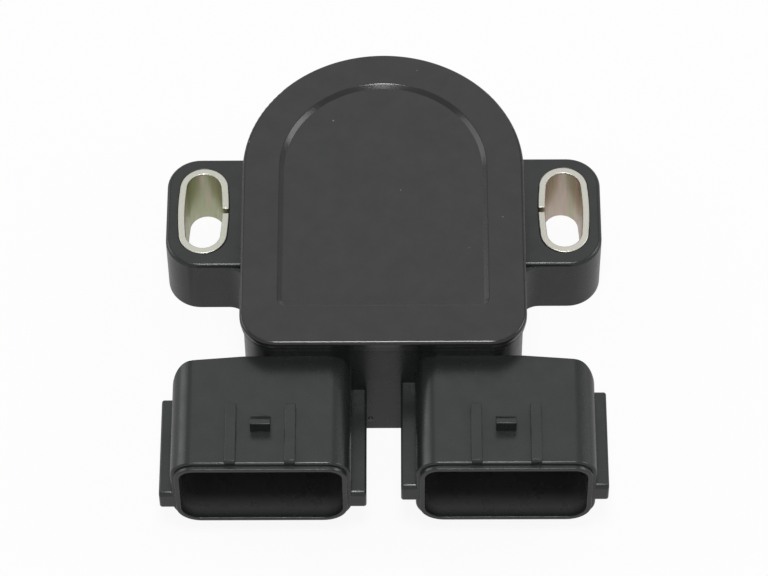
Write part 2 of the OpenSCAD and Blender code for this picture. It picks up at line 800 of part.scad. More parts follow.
// One terminal: a blade in the socket, a slanted run in the wall and a leg up to the board
module terminal(side, way, gap) {
    tip = 0.6;
    half = blade_w / 2 + gap;
    lane = lane_w / 2 + gap;
    slant = slant_w / 2 + gap;
    mirror([side < 0 ? 1 : 0, 0, 0]) {
        translate([0, 0, term_z - gap]) linear_extrude(term_t + 2 * gap) {
            polygon([
                [blade_x(way) - half, -slant_start], [blade_x(way) - half, tip - blade_tip],
                [blade_x(way) - half + tip, -blade_tip], [blade_x(way) + half - tip, -blade_tip],
                [blade_x(way) + half, tip - blade_tip], [blade_x(way) + half, -slant_start]
            ]);
            polygon([
                [blade_x(way) - slant, -slant_start], [blade_x(way) + slant, -slant_start],
                [lane_x(way) + slant, -slant_end], [lane_x(way) - slant, -slant_end]
            ]);
            translate([lane_x(way) - lane, -slant_end]) square([2 * lane, slant_end - leg_y + term_t / 2]);
        }
        translate([lane_x(way) - lane, -leg_y - term_t / 2, term_z]) cube([2 * lane, term_t, leg_top() - term_z]);
    }
}

function leg_top() = board_z + board_t + leg_out;

module sensor_terminal_1() color("khaki") terminal(1, 1, 0);

module sensor_terminal_2() color("khaki") terminal(1, 2, 0);

module sensor_terminal_3() color("khaki") terminal(1, 3, 0);

module switch_terminal_1() color("khaki") terminal(-1, 1, 0);

module switch_terminal_2() color("khaki") terminal(-1, 2, 0);

module switch_terminal_3() color("khaki") terminal(-1, 3, 0);

// Solder round each leg on the board
module solder_joints() color("silver") {
    for (side = [-1, 1], way = [1 : 3]) difference() {
        translate([side * lane_x(way), -leg_y, board_z + board_t])
            cylinder(r1 = solder_r, r2 = 0.7 * solder_r, h = solder_h);
        translate([side * lane_x(way), -leg_y, board_z + board_t])
            cube([lane_w, term_t, 2 * leg_out], center = true);
    }
}

housing();
cover();
cover_seal();
bushing_left();
bushing_right();
rotor_shaft();
shaft_seal();
rotor_bearing();
thrust_washer();
retaining_ring();
return_spring();
wiper_carrier();
sensor_brush();
switch_brush();
resistor_board();
resistor_track();
collector_track();
switch_track();
solder_joints();
sensor_terminal_1();
sensor_terminal_2();
sensor_terminal_3();
switch_terminal_1();
switch_terminal_2();
switch_terminal_3();
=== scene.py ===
"""Throttle position sensor: finishes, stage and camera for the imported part.

Lengths are metres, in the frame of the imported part: the origin is on the rotor axis in the
mounting face, +Z runs out of the cover, and the sockets open towards -Y.
"""

import json
import math

import bmesh
import bpy
from mathutils import Matrix, Vector

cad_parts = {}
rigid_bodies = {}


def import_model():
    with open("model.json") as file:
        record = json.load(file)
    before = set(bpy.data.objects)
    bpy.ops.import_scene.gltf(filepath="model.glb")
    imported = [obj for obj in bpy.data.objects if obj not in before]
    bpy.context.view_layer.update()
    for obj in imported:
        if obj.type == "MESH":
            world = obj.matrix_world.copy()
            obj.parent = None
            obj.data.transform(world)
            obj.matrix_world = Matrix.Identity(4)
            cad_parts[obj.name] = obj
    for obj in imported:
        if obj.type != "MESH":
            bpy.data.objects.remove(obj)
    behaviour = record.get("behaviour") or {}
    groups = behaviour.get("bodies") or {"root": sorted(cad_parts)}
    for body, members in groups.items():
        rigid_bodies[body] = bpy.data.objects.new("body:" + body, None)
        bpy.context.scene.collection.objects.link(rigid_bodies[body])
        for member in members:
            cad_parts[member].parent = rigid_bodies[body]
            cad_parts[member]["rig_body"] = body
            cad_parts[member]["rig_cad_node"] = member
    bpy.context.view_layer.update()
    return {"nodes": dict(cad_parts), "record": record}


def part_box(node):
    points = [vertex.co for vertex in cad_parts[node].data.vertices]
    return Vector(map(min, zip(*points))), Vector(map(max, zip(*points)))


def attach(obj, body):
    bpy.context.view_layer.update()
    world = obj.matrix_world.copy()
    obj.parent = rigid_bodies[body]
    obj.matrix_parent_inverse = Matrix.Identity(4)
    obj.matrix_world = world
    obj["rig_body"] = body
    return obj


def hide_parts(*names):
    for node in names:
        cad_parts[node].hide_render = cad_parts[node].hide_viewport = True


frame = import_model()

bl_info = {
    "name": "Throttle position sensor",
    "version": (1, 0, 0),
    "blender": (4, 5, 0),
    "location": "View3D > Sidebar > Sensor",
    "description": "Finishes, stage and camera for the packed throttle position sensor",
    "category": "Object",
}

MM = 0.001
NODES = frame["nodes"]

# The room for a plug in the sensor's socket, and how far out from it the socket's walls are searched
ROOMS = {room["name"]: room["box_m"] for room in frame["record"]["physics"]["openings"]}
PLUG_LOW = ROOMS["sensor_socket_below"][0]
PLUG_HIGH = ROOMS["sensor_socket_above"][1]
WALL_REACH = 0.92 * MM

# The sockets' mouths, and how far behind them the painted light on the socket walls starts and is full
MOUTH_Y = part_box("housing")[0][1]
PAINTED_LIGHT_START = 0.4 * MM
PAINTED_LIGHT_FULL = 1.6 * MM

# How merged copies are welded, joined, rounded and shaded smooth
WELD_GAP = 0.0005 * MM
FLAT_ANGLE = math.radians(0.5)
SHARP_ANGLE = math.radians(28)
SMOOTH_ANGLE = math.radians(60)
BUSHING_EDGE = 0.15 * MM
SHAFT_EDGE = 0.12 * MM
TERMINAL_EDGE = 0.06 * MM

# How bright the hollows of a metal's surface are beside the rest of it
RING_SHADE = 0.78
LINE_SHADE = 0.80
PORE_SHADE = 0.25

# The floor lies a hair above the mounting face, so that a camera below sees the face whole
FLOOR_LIFT = 0.01 * MM
FLOOR_WIDTH = 6.0

# What the lamps point at; then each lamp's name, place, width, height and the setting for its power
LAMP_TARGET = (0, -0.01, 0.01)
LAMPS = (
    ("top_lamp", (0.0, 0.36, 0.56), 0.45, 0.45, "top_power"),
    ("left_lamp", (-0.55, 0.17, 0.33), 0.38, 0.40, "side_power"),
    ("right_lamp", (0.52, 0.07, 0.41), 0.28, 0.28, "side_power"),
    ("front_lamp", (0.0, -0.39, 0.58), 0.04, 0.30, "front_power"),
    ("key_lamp", (0.0, -0.155, 0.70), 0.14, 0.22, "key_power"),
)

# The width of the camera's sensor in millimetres, and the nearest and farthest that it sees
FILM_WIDTH = 36
CLIP_NEAR = 0.05
CLIP_FAR = 20


# Settings

class PlasticSettings(bpy.types.PropertyGroup):
    """Colours and surface of the two mouldings."""

    body_colour: bpy.props.FloatVectorProperty(
        name="Body colour", description="Plastic of the housing", subtype="COLOR",
        min=0, max=1, default=(0.0185, 0.0205, 0.0207),
    )
    cover_colour: bpy.props.FloatVectorProperty(
        name="Cover colour", description="Plastic of the cover", subtype="COLOR",
        min=0, max=1, default=(0.0205, 0.0213, 0.0210),
    )
    rubbed_colour: bpy.props.FloatVectorProperty(
        name="Rubbed colour", description="Plastic where an edge has been handled", subtype="COLOR",
        min=0, max=1, default=(0.075, 0.080, 0.080),
    )
    dust_colour: bpy.props.FloatVectorProperty(
        name="Dust colour", description="Specks of dust on the mouldings", subtype="COLOR",
        min=0, max=1, default=(0.15, 0.15, 0.14),
    )
    edge_radius: bpy.props.FloatProperty(
        name="Edge radius", description="Radius of the mouldings' small edges", unit="LENGTH",
        precision=5, default=0.12 * MM,
    )
    body_roughness: bpy.props.FloatProperty(
        name="Body roughness", description="How dull the housing's plastic is", subtype="FACTOR",
        min=0, max=1, default=0.28,
    )
    cover_roughness: bpy.props.FloatProperty(
        name="Cover roughness", description="How dull the cover's plastic is", subtype="FACTOR",
        min=0, max=1, default=0.18,
    )
    patch_size: bpy.props.FloatProperty(
        name="Patch size", description="Width of the darker patches of the plastic", unit="LENGTH",
        precision=5, default=3.5 * MM,
    )
    patch_share: bpy.props.FloatProperty(
        name="Patch share", description="How bright a darker patch is beside the rest",
        subtype="FACTOR", min=0, max=1, default=0.74,
    )
    rub_radius: bpy.props.FloatProperty(
        name="Rub radius", description="How far from an edge the plastic is rubbed", unit="LENGTH",
        precision=5, default=0.25 * MM,
    )
    rub_amount: bpy.props.FloatProperty(
        name="Rub amount", description="How strongly the edges are rubbed", subtype="FACTOR",
        min=0, max=1, default=0.35,
    )
    dust_spacing: bpy.props.FloatProperty(
        name="Dust spacing", description="Distance between places where a speck can lie",
        unit="LENGTH", precision=5, default=2.4 * MM,
    )
    dust_share: bpy.props.FloatProperty(
        name="Dust share", description="Share of those places that hold a speck", subtype="FACTOR",
        min=0, max=1, default=0.05,
    )
    # Painted light: a paler colour that lightens the plastic deep inside the sockets, standing in for
    # light that reaches there
    painted_light_colour: bpy.props.FloatVectorProperty(
        name="Painted light colour", description="Painted light on the plastic deep in the sockets",
        subtype="COLOR", min=0, max=1, default=(0.085, 0.085, 0.085),
    )
    grain_size: bpy.props.FloatProperty(
        name="Grain size", description="Width of a grain of the mould's surface", unit="LENGTH",
        precision=5, default=0.22 * MM,
    )
    grain_depth: bpy.props.FloatProperty(
        name="Grain depth", description="Depth of the mould's surface grain", unit="LENGTH",
        precision=6, default=0.006 * MM,
    )


class MetalSettings(bpy.types.PropertyGroup):
    """Colours of the metal pieces."""

    zinc_colour: bpy.props.FloatVectorProperty(
        name="Zinc colour", description="Dull plating of the bushings", subtype="COLOR",
        min=0, max=1, default=(0.56, 0.56, 0.505),
    )
    chromate_colour: bpy.props.FloatVectorProperty(
        name="Chromate colour", description="Yellow film on the bushings' plating", subtype="COLOR",
        min=0, max=1, default=(0.54, 0.57, 0.375),
    )
    blush_colour: bpy.props.FloatVectorProperty(
        name="Blush colour", description="Pink patches of the bushings' film", subtype="COLOR",
        min=0, max=1, default=(0.70, 0.585, 0.50),
    )
    shaft_colour: bpy.props.FloatVectorProperty(
        name="Shaft colour", description="Turned steel of the rotor", subtype="COLOR",
        min=0, max=1, default=(0.52, 0.52, 0.51),
    )
    terminal_colour: bpy.props.FloatVectorProperty(
        name="Terminal colour", description="Tin on the terminal blades", subtype="COLOR",
        min=0, max=1, default=(0.62, 0.61, 0.58),
    )
    bronze_colour: bpy.props.FloatVectorProperty(
        name="Bronze colour", description="Sintered bronze of the bearing", subtype="COLOR",
        min=0, max=1, default=(0.45, 0.27, 0.11),
    )
    contact_colour: bpy.props.FloatVectorProperty(
        name="Contact colour", description="Plated leaf of the brushes", subtype="COLOR",
        min=0, max=1, default=(0.82, 0.60, 0.24),
    )
    washer_colour: bpy.props.FloatVectorProperty(
        name="Washer colour", description="Steel of the thrust washer", subtype="COLOR",
        min=0, max=1, default=(0.50, 0.50, 0.49),
    )
    ring_colour: bpy.props.FloatVectorProperty(
        name="Ring colour", description="Blackened steel of the retaining ring", subtype="COLOR",
        min=0, max=1, default=(0.09, 0.09, 0.10),
    )
    wire_colour: bpy.props.FloatVectorProperty(
        name="Wire colour", description="Drawn wire of the return spring", subtype="COLOR",
        min=0, max=1, default=(0.46, 0.46, 0.45),
    )
    silver_colour: bpy.props.FloatVectorProperty(
        name="Silver colour", description="Silver ink of the collector and switch tracks",
        subtype="COLOR", min=0, max=1, default=(0.62, 0.61, 0.58),
    )
    solder_colour: bpy.props.FloatVectorProperty(
        name="Solder colour", description="Solder at the terminals' legs", subtype="COLOR",
        min=0, max=1, default=(0.70, 0.70, 0.69),
    )


class InnerSettings(bpy.types.PropertyGroup):
    """Colours of the rubber, acetal, ink and laminate inside the housing."""

    rubber_colour: bpy.props.FloatVectorProperty(
        name="Rubber colour", description="Rubber of the two seals", subtype="COLOR",
        min=0, max=1, default=(0.012, 0.012, 0.013),
    )
    rubber_patch: bpy.props.FloatVectorProperty(
        name="Rubber patch", description="Paler patches of the seals", subtype="COLOR",
        min=0, max=1, default=(0.020, 0.020, 0.021),
    )
    acetal_colour: bpy.props.FloatVectorProperty(
        name="Acetal colour", description="Plastic of the wiper carrier", subtype="COLOR",
        min=0, max=1, default=(0.70, 0.67, 0.58),
    )
    acetal_patch: bpy.props.FloatVectorProperty(
        name="Acetal patch", description="Darker patches of the wiper carrier", subtype="COLOR",
        min=0, max=1, default=(0.64, 0.61, 0.52),
    )
    carbon_colour: bpy.props.FloatVectorProperty(
        name="Carbon colour", description="Carbon ink of the resistor track", subtype="COLOR",
        min=0, max=1, default=(0.012, 0.012, 0.013),
    )
    carbon_patch: bpy.props.FloatVectorProperty(
        name="Carbon patch", description="Paler patches of the resistor track", subtype="COLOR",
        min=0, max=1, default=(0.022, 0.022, 0.024),
    )
    lacquer_low: bpy.props.FloatVectorProperty(
        name="Lacquer, low", description="Lacquer between the threads of the board's glass",
        subtype="COLOR", min=0, max=1, default=(0.010, 0.105, 0.040),
    )
    lacquer_high: bpy.props.FloatVectorProperty(
        name="Lacquer, high", description="Lacquer over the threads of the board's glass",
        subtype="COLOR", min=0, max=1, default=(0.016, 0.150, 0.062),
    )
    weave_pitch: bpy.props.FloatProperty(
        name="Weave pitch", description="Distance between threads of the board's glass",
        unit="LENGTH", precision=5, default=0.5 * MM,
    )


class StageSettings(bpy.types.PropertyGroup):
    """Floor, lamps and camera."""

    floor_colour: bpy.props.FloatVectorProperty(
        name="Floor colour", description="Pale paper under the part", subtype="COLOR",
        min=0, max=1, default=(0.94, 0.94, 0.94),
    )
    shadow_share: bpy.props.FloatProperty(
        name="Shadow share", description="How strongly the floor shows the part's shadow",
        subtype="FACTOR", min=0, max=1, default=0.08,
    )
    bounce_level: bpy.props.FloatProperty(
        name="Floor bounce", description="How pale the floor is to the light that it throws back",
        subtype="FACTOR", min=0, max=1, default=0.52,
    )
    gloss_share: bpy.props.FloatProperty(
        name="Gloss share", description="How much of the floor's white a glossy surface mirrors",
        subtype="FACTOR", min=0, max=1, default=0.37,
    )
    room_level: bpy.props.FloatProperty(
        name="Room light", description="Level of the light that comes from all round",
        min=0, default=0.18,
    )
    room_gloss: bpy.props.FloatProperty(
        name="Room gloss", description="Share of the room's white that is mirrored from high up",
        subtype="FACTOR", min=0, max=1, default=0.50,
    )
    top_power: bpy.props.FloatProperty(
        name="Top lamp", description="Power of the lamp above and behind the part", unit="POWER",
        default=0.38,
    )
    side_power: bpy.props.FloatProperty(
        name="Side lamps", description="Power of each lamp beside the part", unit="POWER", default=0.9,
    )
    front_power: bpy.props.FloatProperty(
        name="Front lamp", description="Power of the dim lamp behind the camera", unit="POWER",
        default=0.12,
    )
    key_power: bpy.props.FloatProperty(
        name="Key lamp", description="Power of the lamp above the camera", unit="POWER", default=2.3,
    )
    camera_tilt: bpy.props.FloatProperty(
        name="Camera tilt", description="Camera's tilt from looking straight down", unit="ROTATION",
        default=math.radians(33.64),
    )
    camera_pan: bpy.props.FloatProperty(
        name="Camera pan", description="Camera's turn to the side", unit="ROTATION",
        default=math.radians(0.38),
    )
    camera_distance: bpy.props.FloatProperty(
        name="Camera distance", description="From the camera to the rotor axis at the mounting face",
        unit="LENGTH", default=0.6,
    )
    camera_drop: bpy.props.FloatProperty(
        name="Camera drop", description="How far the picture's middle lies below the rotor axis",
        unit="LENGTH", precision=5, default=5.21 * MM,
    )
    camera_side: bpy.props.FloatProperty(
        name="Camera side", description="How far the picture's middle lies beside the rotor axis",
        unit="LENGTH", precision=5, default=-0.02 * MM,
    )
    lens: bpy.props.FloatProperty(
        name="Lens", description="Focal length for a sensor 36 mm wide", unit="CAMERA", default=191.85,
    )


# Modelling helpers

def select_only(obj):
    """Make one object the active and only selected one."""
    bpy.ops.object.select_all(action="DESELECT")
    obj.select_set(True)
    bpy.context.view_layer.objects.active = obj


def merged_copy(node, name):
    """A copy of a CAD node as one closed mesh, with flat faces joined."""
    select_only(NODES[node])
    bpy.ops.object.duplicate()
    piece = bpy.context.object
    piece.name = name
    piece.data.name = name
    bpy.ops.object.parent_clear(type="CLEAR_KEEP_TRANSFORM")
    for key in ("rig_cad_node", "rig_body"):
        del piece[key]
    bpy.ops.mesh.customdata_custom_splitnormals_clear()
    bpy.ops.object.mode_set(mode="EDIT")
    bpy.ops.mesh.select_all(action="SELECT")
    bpy.ops.mesh.remove_doubles(threshold=WELD_GAP)
    bpy.ops.mesh.dissolve_limited(angle_limit=FLAT_ANGLE)
    bpy.ops.object.mode_set(mode="OBJECT")
    return piece


def weigh_edges(piece):
    """Mark the outer edges that get a rounding, and the inner corners that stay crisp."""
    shape = bmesh.new()
    shape.from_mesh(piece.data)
    weight = shape.edges.layers.float.new("bevel_weight_edge")
    for edge in shape.edges:
        if edge.is_manifold and edge.calc_face_angle() > SHARP_ANGLE:
            edge[weight] = 1.0 if edge.is_convex else 0.0
            edge.smooth = edge.is_convex
    shape.to_mesh(piece.data)
    shape.free()


def round_edges(piece, radius, segments=2):
    """Round a piece's sharp outer edges, and shade its curves smooth."""
    select_only(piece)
    weigh_edges(piece)
    bpy.ops.object.modifier_add(type="BEVEL")
    bevel = piece.modifiers[-1]
    bevel.width = radius
    bevel.segments = segments
    bevel.limit_method = "WEIGHT"
    bevel.loop_slide = False
    bevel.use_clamp_overlap = False
    bpy.ops.object.modifier_apply(modifier=bevel.name)
    bpy.ops.object.shade_smooth_by_angle(angle=SMOOTH_ANGLE)
    bpy.ops.object.modifier_add(type="WEIGHTED_NORMAL")
    weighted = piece.modifiers[-1]
    weighted.keep_sharp = True
    # Large faces outweigh the narrow roundings beside them
    weighted.weight = 100
    bpy.ops.object.modifier_apply(modifier=weighted.name)


def finish_piece(piece, material, body, slot, *replaced):
    """Give a piece its material and its body, and hide the nodes that it replaces; its slot is not used.
    """
    piece.data.materials.clear()
    piece.data.materials.append(material)
    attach(piece, body)
    if replaced:
        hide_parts(*replaced)


def dress(node, material):
    """Give a CAD node a finished material."""
    mesh = NODES[node].data
    mesh.materials.clear()
    mesh.materials.append(material)


# Shader node helpers

def add(tree, kind, sockets=None, **fields):
    """Add a shader node; sockets holds values or the outputs to link."""
    made = tree.nodes.new("ShaderNode" + kind)
    for field, value in fields.items():
        setattr(made, field, value)
    for socket, value in (sockets or {}).items():
        if isinstance(value, bpy.types.NodeSocket):
            tree.links.new(value, made.inputs[socket])
        else:
            made.inputs[socket].default_value = value
    return made


def rgba(colour):
    """A colour property as the four numbers of a colour socket."""
    return (*colour, 1.0)


def blend_colours(tree, factor, first, second):
    """Mix two colours and return the mixed output."""
    mix = add(tree, "Mix", {0: factor, 6: first, 7: second}, data_type="RGBA")
    return mix.outputs[2]


def ramp(tree, value, low, high, to_low=0.0, to_high=1.0):
    """Map a value from one range to another, clamped."""
    mapped = add(tree, "MapRange", {
        "Value": value, "From Min": low, "From Max": high, "To Min": to_low, "To Max": to_high,
    })
    return mapped.outputs[0]


def object_place(tree):
    """Output of the object coordinates."""
    return add(tree, "TexCoord").outputs["Object"]


def per_metre(tree, size):
    """Texture scale for a feature of this size."""
    return add(tree, "Math", {0: 1.0, 1: size}, operation="DIVIDE").outputs[0]


def new_group(name, inputs, outputs):
    """An empty shader group; inputs gives each socket's kind and default."""
    tree = bpy.data.node_groups.new(name, "ShaderNodeTree")
    for label, (kind, value) in inputs.items():
        socket = tree.interface.new_socket(label, in_out="INPUT", socket_type="NodeSocket" + kind)
        socket.default_value = value
    for label, kind in outputs.items():
        tree.interface.new_socket(label, in_out="OUTPUT", socket_type="NodeSocket" + kind)
    return tree, tree.nodes.new("NodeGroupInput").outputs, tree.nodes.new("NodeGroupOutput").inputs


def use_group(tree, name, sockets):
    """Place a shared group in a material and return its outputs."""
    return add(tree, "Group", sockets, node_tree=bpy.data.node_groups[name]).outputs


def new_material(name):
    """A material with an empty node tree but its Principled shader."""
    material = bpy.data.materials.new(name)
    material.use_nodes = True
    tree = material.node_tree
    return material, tree, tree.nodes["Principled BSDF"].inputs


def set_sockets(tree, shader, sockets):
    """Set or link the sockets of a material's shader."""
    for name, value in sockets.items():
        if isinstance(value, bpy.types.NodeSocket):
            tree.links.new(value, shader[name])
        else:
            shader[name].default_value = value


# Shared effects

def make_grain_group():
    """Fine raised grain of a mould's surface or a cast skin."""
    tree, given, put = new_group(
        "grain", {"Size": ("Float", 0.0003), "Depth": ("Float", 0.000005)}, {"Normal": "Vector"})
    place = object_place(tree)
    fine = add(tree, "TexNoise", {
        "Vector": place, "Scale": per_metre(tree, given["Size"]), "Detail": 3.0, "Roughness": 0.6,
    })
    bump = add(tree, "Bump", {"Strength": 1.0, "Distance": given["Depth"], "Height": fine.outputs[0]})
    tree.links.new(bump.outputs[0], put["Normal"])


def make_mottle_group():
    """Soft patches between two colours, and a roughness that follows them."""
    tree, given, put = new_group(
        "mottle",
        {
            "Colour": ("Color", (0.5, 0.5, 0.5, 1)), "Patch Colour": ("Color", (0.4, 0.4, 0.4, 1)),
            "Patch Size": ("Float", 0.006), "Roughness": ("Float", 0.4), "Spread": ("Float", 0.1),
        },
        {"Colour": "Color", "Roughness": "Float"})
    place = object_place(tree)
    patches = add(tree, "TexNoise", {
        "Vector": place, "Scale": per_metre(tree, given["Patch Size"]), "Detail": 4.0,
        "Roughness": 0.6,
    })
    mask = ramp(tree, patches.outputs[0], 0.35, 0.65)
    around = add(tree, "Math", {0: mask, 1: -0.5}, operation="ADD").outputs[0]
    swing = add(tree, "Math", {0: around, 1: given["Spread"]}, operation="MULTIPLY").outputs[0]
    rough = add(tree, "Math", {0: swing, 1: given["Roughness"]}, operation="ADD").outputs[0]
    tree.links.new(blend_colours(tree, mask, given["Colour"], given["Patch Colour"]), put["Colour"])
    tree.links.new(rough, put["Roughness"])


def make_edge_group():
    """Mask of the edges that hands and tools have rubbed."""
    tree, given, put = new_group(
        "edge rub", {"Radius": ("Float", 0.0002), "Amount": ("Float", 0.5)}, {"Mask": "Float"})
    rounded = add(tree, "Bevel", {"Radius": given["Radius"]}, samples=4)
    true_normal = add(tree, "NewGeometry").outputs["Normal"]
    facing = add(tree, "VectorMath", {0: rounded.outputs[0], 1: true_normal}, operation="DOT_PRODUCT")
    # The cosines of 6 and 26 degrees between the rounded normal and the true one
    edge = ramp(tree, facing.outputs["Value"], 0.995, 0.90)
    breaks = add(tree, "TexNoise", {"Vector": object_place(tree), "Scale": 700.0, "Detail": 3.0})
    worn = ramp(tree, breaks.outputs[0], 0.45, 0.70)
    rubbed = add(tree, "Math", {0: edge, 1: worn}, operation="MULTIPLY").outputs[0]
    mask = add(tree, "Math", {0: rubbed, 1: given["Amount"]}, operation="MULTIPLY").outputs[0]
    tree.links.new(mask, put["Mask"])


def make_dust_group():
    """Mask of a few small specks of dust."""
    tree, given, put = new_group(
        "dust", {"Spacing": ("Float", 0.002), "Share": ("Float", 0.12)}, {"Mask": "Float"})
    cells = add(tree, "TexVoronoi", {
        "Vector": object_place(tree), "Scale": per_metre(tree, given["Spacing"]), "Randomness": 1.0,
    })
    chance = add(tree, "SeparateColor", {"Color": cells.outputs["Color"]}).outputs
    kept = add(tree, "Math", {0: chance[0], 1: given["Share"]}, operation="LESS_THAN").outputs[0]
    # A speck's radius as a share of the spacing
    size = ramp(tree, chance[1], 0.0, 1.0, 0.03, 0.075)
    spot = add(tree, "Math", {0: cells.outputs["Distance"], 1: size}, operation="LESS_THAN").outputs[0]
    mask = add(tree, "Math", {0: spot, 1: kept}, operation="MULTIPLY").outputs[0]
    tree.links.new(mask, put["Mask"])


def make_turning_group():
    """Rings that a lathe leaves round the rotor axis."""
    tree, given, put = new_group(
        "turning marks", {"Pitch": ("Float", 0.0001), "Depth": ("Float", 0.000002)},
        {"Normal": "Vector", "Mask": "Float"})
    place = add(tree, "SeparateXYZ", {0: object_place(tree)}).outputs
    square_x = add(tree, "Math", {0: place["X"], 1: 2.0}, operation="POWER").outputs[0]
    square_y = add(tree, "Math", {0: place["Y"], 1: 2.0}, operation="POWER").outputs[0]
    total = add(tree, "Math", {0: square_x, 1: square_y}, operation="ADD").outputs[0]
    radius = add(tree, "Math", {0: total}, operation="SQRT").outputs[0]
    path = add(tree, "Math", {0: radius, 1: place["Z"]}, operation="ADD").outputs[0]
    turns = add(tree, "Math", {0: path, 1: given["Pitch"]}, operation="DIVIDE").outputs[0]
    rings = add(tree, "TexNoise", {"W": turns, "Scale": 1.0, "Detail": 3.0}, noise_dimensions="1D")
    bump = add(tree, "Bump", {"Strength": 1.0, "Distance": given["Depth"], "Height": rings.outputs[0]})
    tree.links.new(bump.outputs[0], put["Normal"])
    tree.links.new(rings.outputs[0], put["Mask"])


def make_drawn_group():
    """Fine lines along one direction, as on rolled or drawn metal."""
    tree, given, put = new_group(
        "drawn lines", {"Stretch": ("Vector", (4000, 4000, 200)), "Depth": ("Float", 0.000002)},
        {"Normal": "Vector", "Mask": "Float"})
    stretched = add(tree, "VectorMath", {0: object_place(tree), 1: given["Stretch"]}, operation="MULTIPLY")
    lines = add(tree, "TexNoise", {"Vector": stretched.outputs[0], "Scale": 1.0, "Detail": 3.0})
    bump = add(tree, "Bump", {"Strength": 1.0, "Distance": given["Depth"], "Height": lines.outputs[0]})
    tree.links.new(bump.outputs[0], put["Normal"])
    tree.links.new(lines.outputs[0], put["Mask"])


def make_groups():
    """Build every shared effect once."""
    make_grain_group()
    make_mottle_group()
    make_edge_group()
    make_dust_group()
    make_turning_group()
    make_drawn_group()


# Materials

def inside_sockets(tree):
    """Mask of the walls inside the two sockets, where painted light lightens the plastic; it fades in
    behind the mouths.
    """
    place = add(tree, "SeparateXYZ", {0: object_place(tree)}).outputs
    side = add(tree, "Math", {0: place["X"]}, operation="ABSOLUTE").outputs[0]
    mask = ramp(tree, place["Y"], MOUTH_Y + PAINTED_LIGHT_START, MOUTH_Y + PAINTED_LIGHT_FULL)
    for axis, value in enumerate((side, place["Y"], place["Z"])):
        middle = (PLUG_LOW[axis] + PLUG_HIGH[axis]) / 2
        half = (PLUG_HIGH[axis] - PLUG_LOW[axis]) / 2 + WALL_REACH
        away = add(tree, "Math", {0: value, 1: middle}, operation="SUBTRACT").outputs[0]
        away = add(tree, "Math", {0: away}, operation="ABSOLUTE").outputs[0]
        within = add(tree, "Math", {0: away, 1: half}, operation="LESS_THAN").outputs[0]
        mask = add(tree, "Math", {0: mask, 1: within}, operation="MULTIPLY").outputs[0]
    return mask


def moulded_plastic(name, colour, roughness, looks):
    """Glass-filled black plastic, moulded, with rubbed edges, a little dust and painted light deep inside
    the sockets.
    """
    material, tree, shader = new_material(name)
    patch = [looks.patch_share * level for level in colour]
    skin = use_group(tree, "mottle", {
        "Colour": rgba(colour), "Patch Colour": rgba(patch), "Patch Size": looks.patch_size,
        "Roughness": roughness, "Spread": 0.06,
    })
    rub = use_group(tree, "edge rub", {"Radius": looks.rub_radius, "Amount": looks.rub_amount})
    dust = use_group(tree, "dust", {"Spacing": looks.dust_spacing, "Share": looks.dust_share})
    grain = use_group(tree, "grain", {"Size": looks.grain_size, "Depth": looks.grain_depth})
    # Painted light: the walls deep inside the sockets are lightened towards a paler colour
    painted_lit = blend_colours(tree, inside_sockets(tree), skin["Colour"], rgba(looks.painted_light_colour))
    rubbed = blend_colours(tree, rub["Mask"], painted_lit, rgba(looks.rubbed_colour))
    dusty = blend_colours(tree, dust["Mask"], rubbed, rgba(looks.dust_colour))
    set_sockets(tree, shader, {
        "Base Color": dusty, "Roughness": skin["Roughness"], "Normal": grain["Normal"],
        "IOR": 1.5,
    })
    return material


def chromated_zinc(metals):
    """Bright zinc on steel under a thin yellow film, thinner at the worn rim."""
    material, tree, shader = new_material("chromated_zinc")
    place = add(tree, "SeparateXYZ", {0: object_place(tree)}).outputs
    # The film's share is 0.9 on the walls and 0.12 on the rim
    film_share = ramp(tree, place["Z"], 10.5 * MM, 10.75 * MM, 0.9, 0.12)
    # The bushing at +X has more blush than the other
    side = ramp(tree, place["X"], -20 * MM, 20 * MM, -0.06, 0.10)
    bands = use_group(tree, "drawn lines", {"Stretch": (620, 620, 70), "Depth": 0.02 * MM})
    lines = use_group(tree, "drawn lines", {"Stretch": (3800, 3800, 300), "Depth": 0.003 * MM})
    blush = add(tree, "Math", {0: bands["Mask"], 1: side}, operation="ADD").outputs[0]
    film = blend_colours(tree, ramp(tree, blush, 0.42, 0.60), rgba(metals.chromate_colour),
                         rgba(metals.blush_colour))
    colour = blend_colours(tree, film_share, rgba(metals.zinc_colour), film)
    rough = ramp(tree, lines["Mask"], 0.3, 0.7, 0.30, 0.50)
    set_sockets(tree, shader, {
        "Base Color": colour, "Roughness": rough, "Normal": lines["Normal"], "Metallic": 1.0,
    })
    return material


def turned_metal(name, colour, roughness):
    """Metal turned on a lathe about the rotor axis."""
    material, tree, shader = new_material(name)
    rings = use_group(tree, "turning marks", {"Pitch": 0.09 * MM, "Depth": 0.003 * MM})
    dull = [RING_SHADE * level for level in colour]
    tone = blend_colours(tree, rings["Mask"], rgba(colour), rgba(dull))
    rough = ramp(tree, rings["Mask"], 0.3, 0.7, roughness - 0.06, roughness + 0.08)
    set_sockets(tree, shader, {
        "Base Color": tone, "Roughness": rough, "Normal": rings["Normal"], "Metallic": 1.0,
    })
    return material


def drawn_metal(name, colour, roughness, stretch):
    """Strip or wire with fine lines along its length."""
    material, tree, shader = new_material(name)
    lines = use_group(tree, "drawn lines", {"Stretch": stretch, "Depth": 0.002 * MM})
    dull = [LINE_SHADE * level for level in colour]
    tone = blend_colours(tree, lines["Mask"], rgba(colour), rgba(dull))
    rough = ramp(tree, lines["Mask"], 0.3, 0.7, roughness - 0.05, roughness + 0.07)
    set_sockets(tree, shader, {
        "Base Color": tone, "Roughness": rough, "Normal": lines["Normal"], "Metallic": 1.0,
    })
    return material


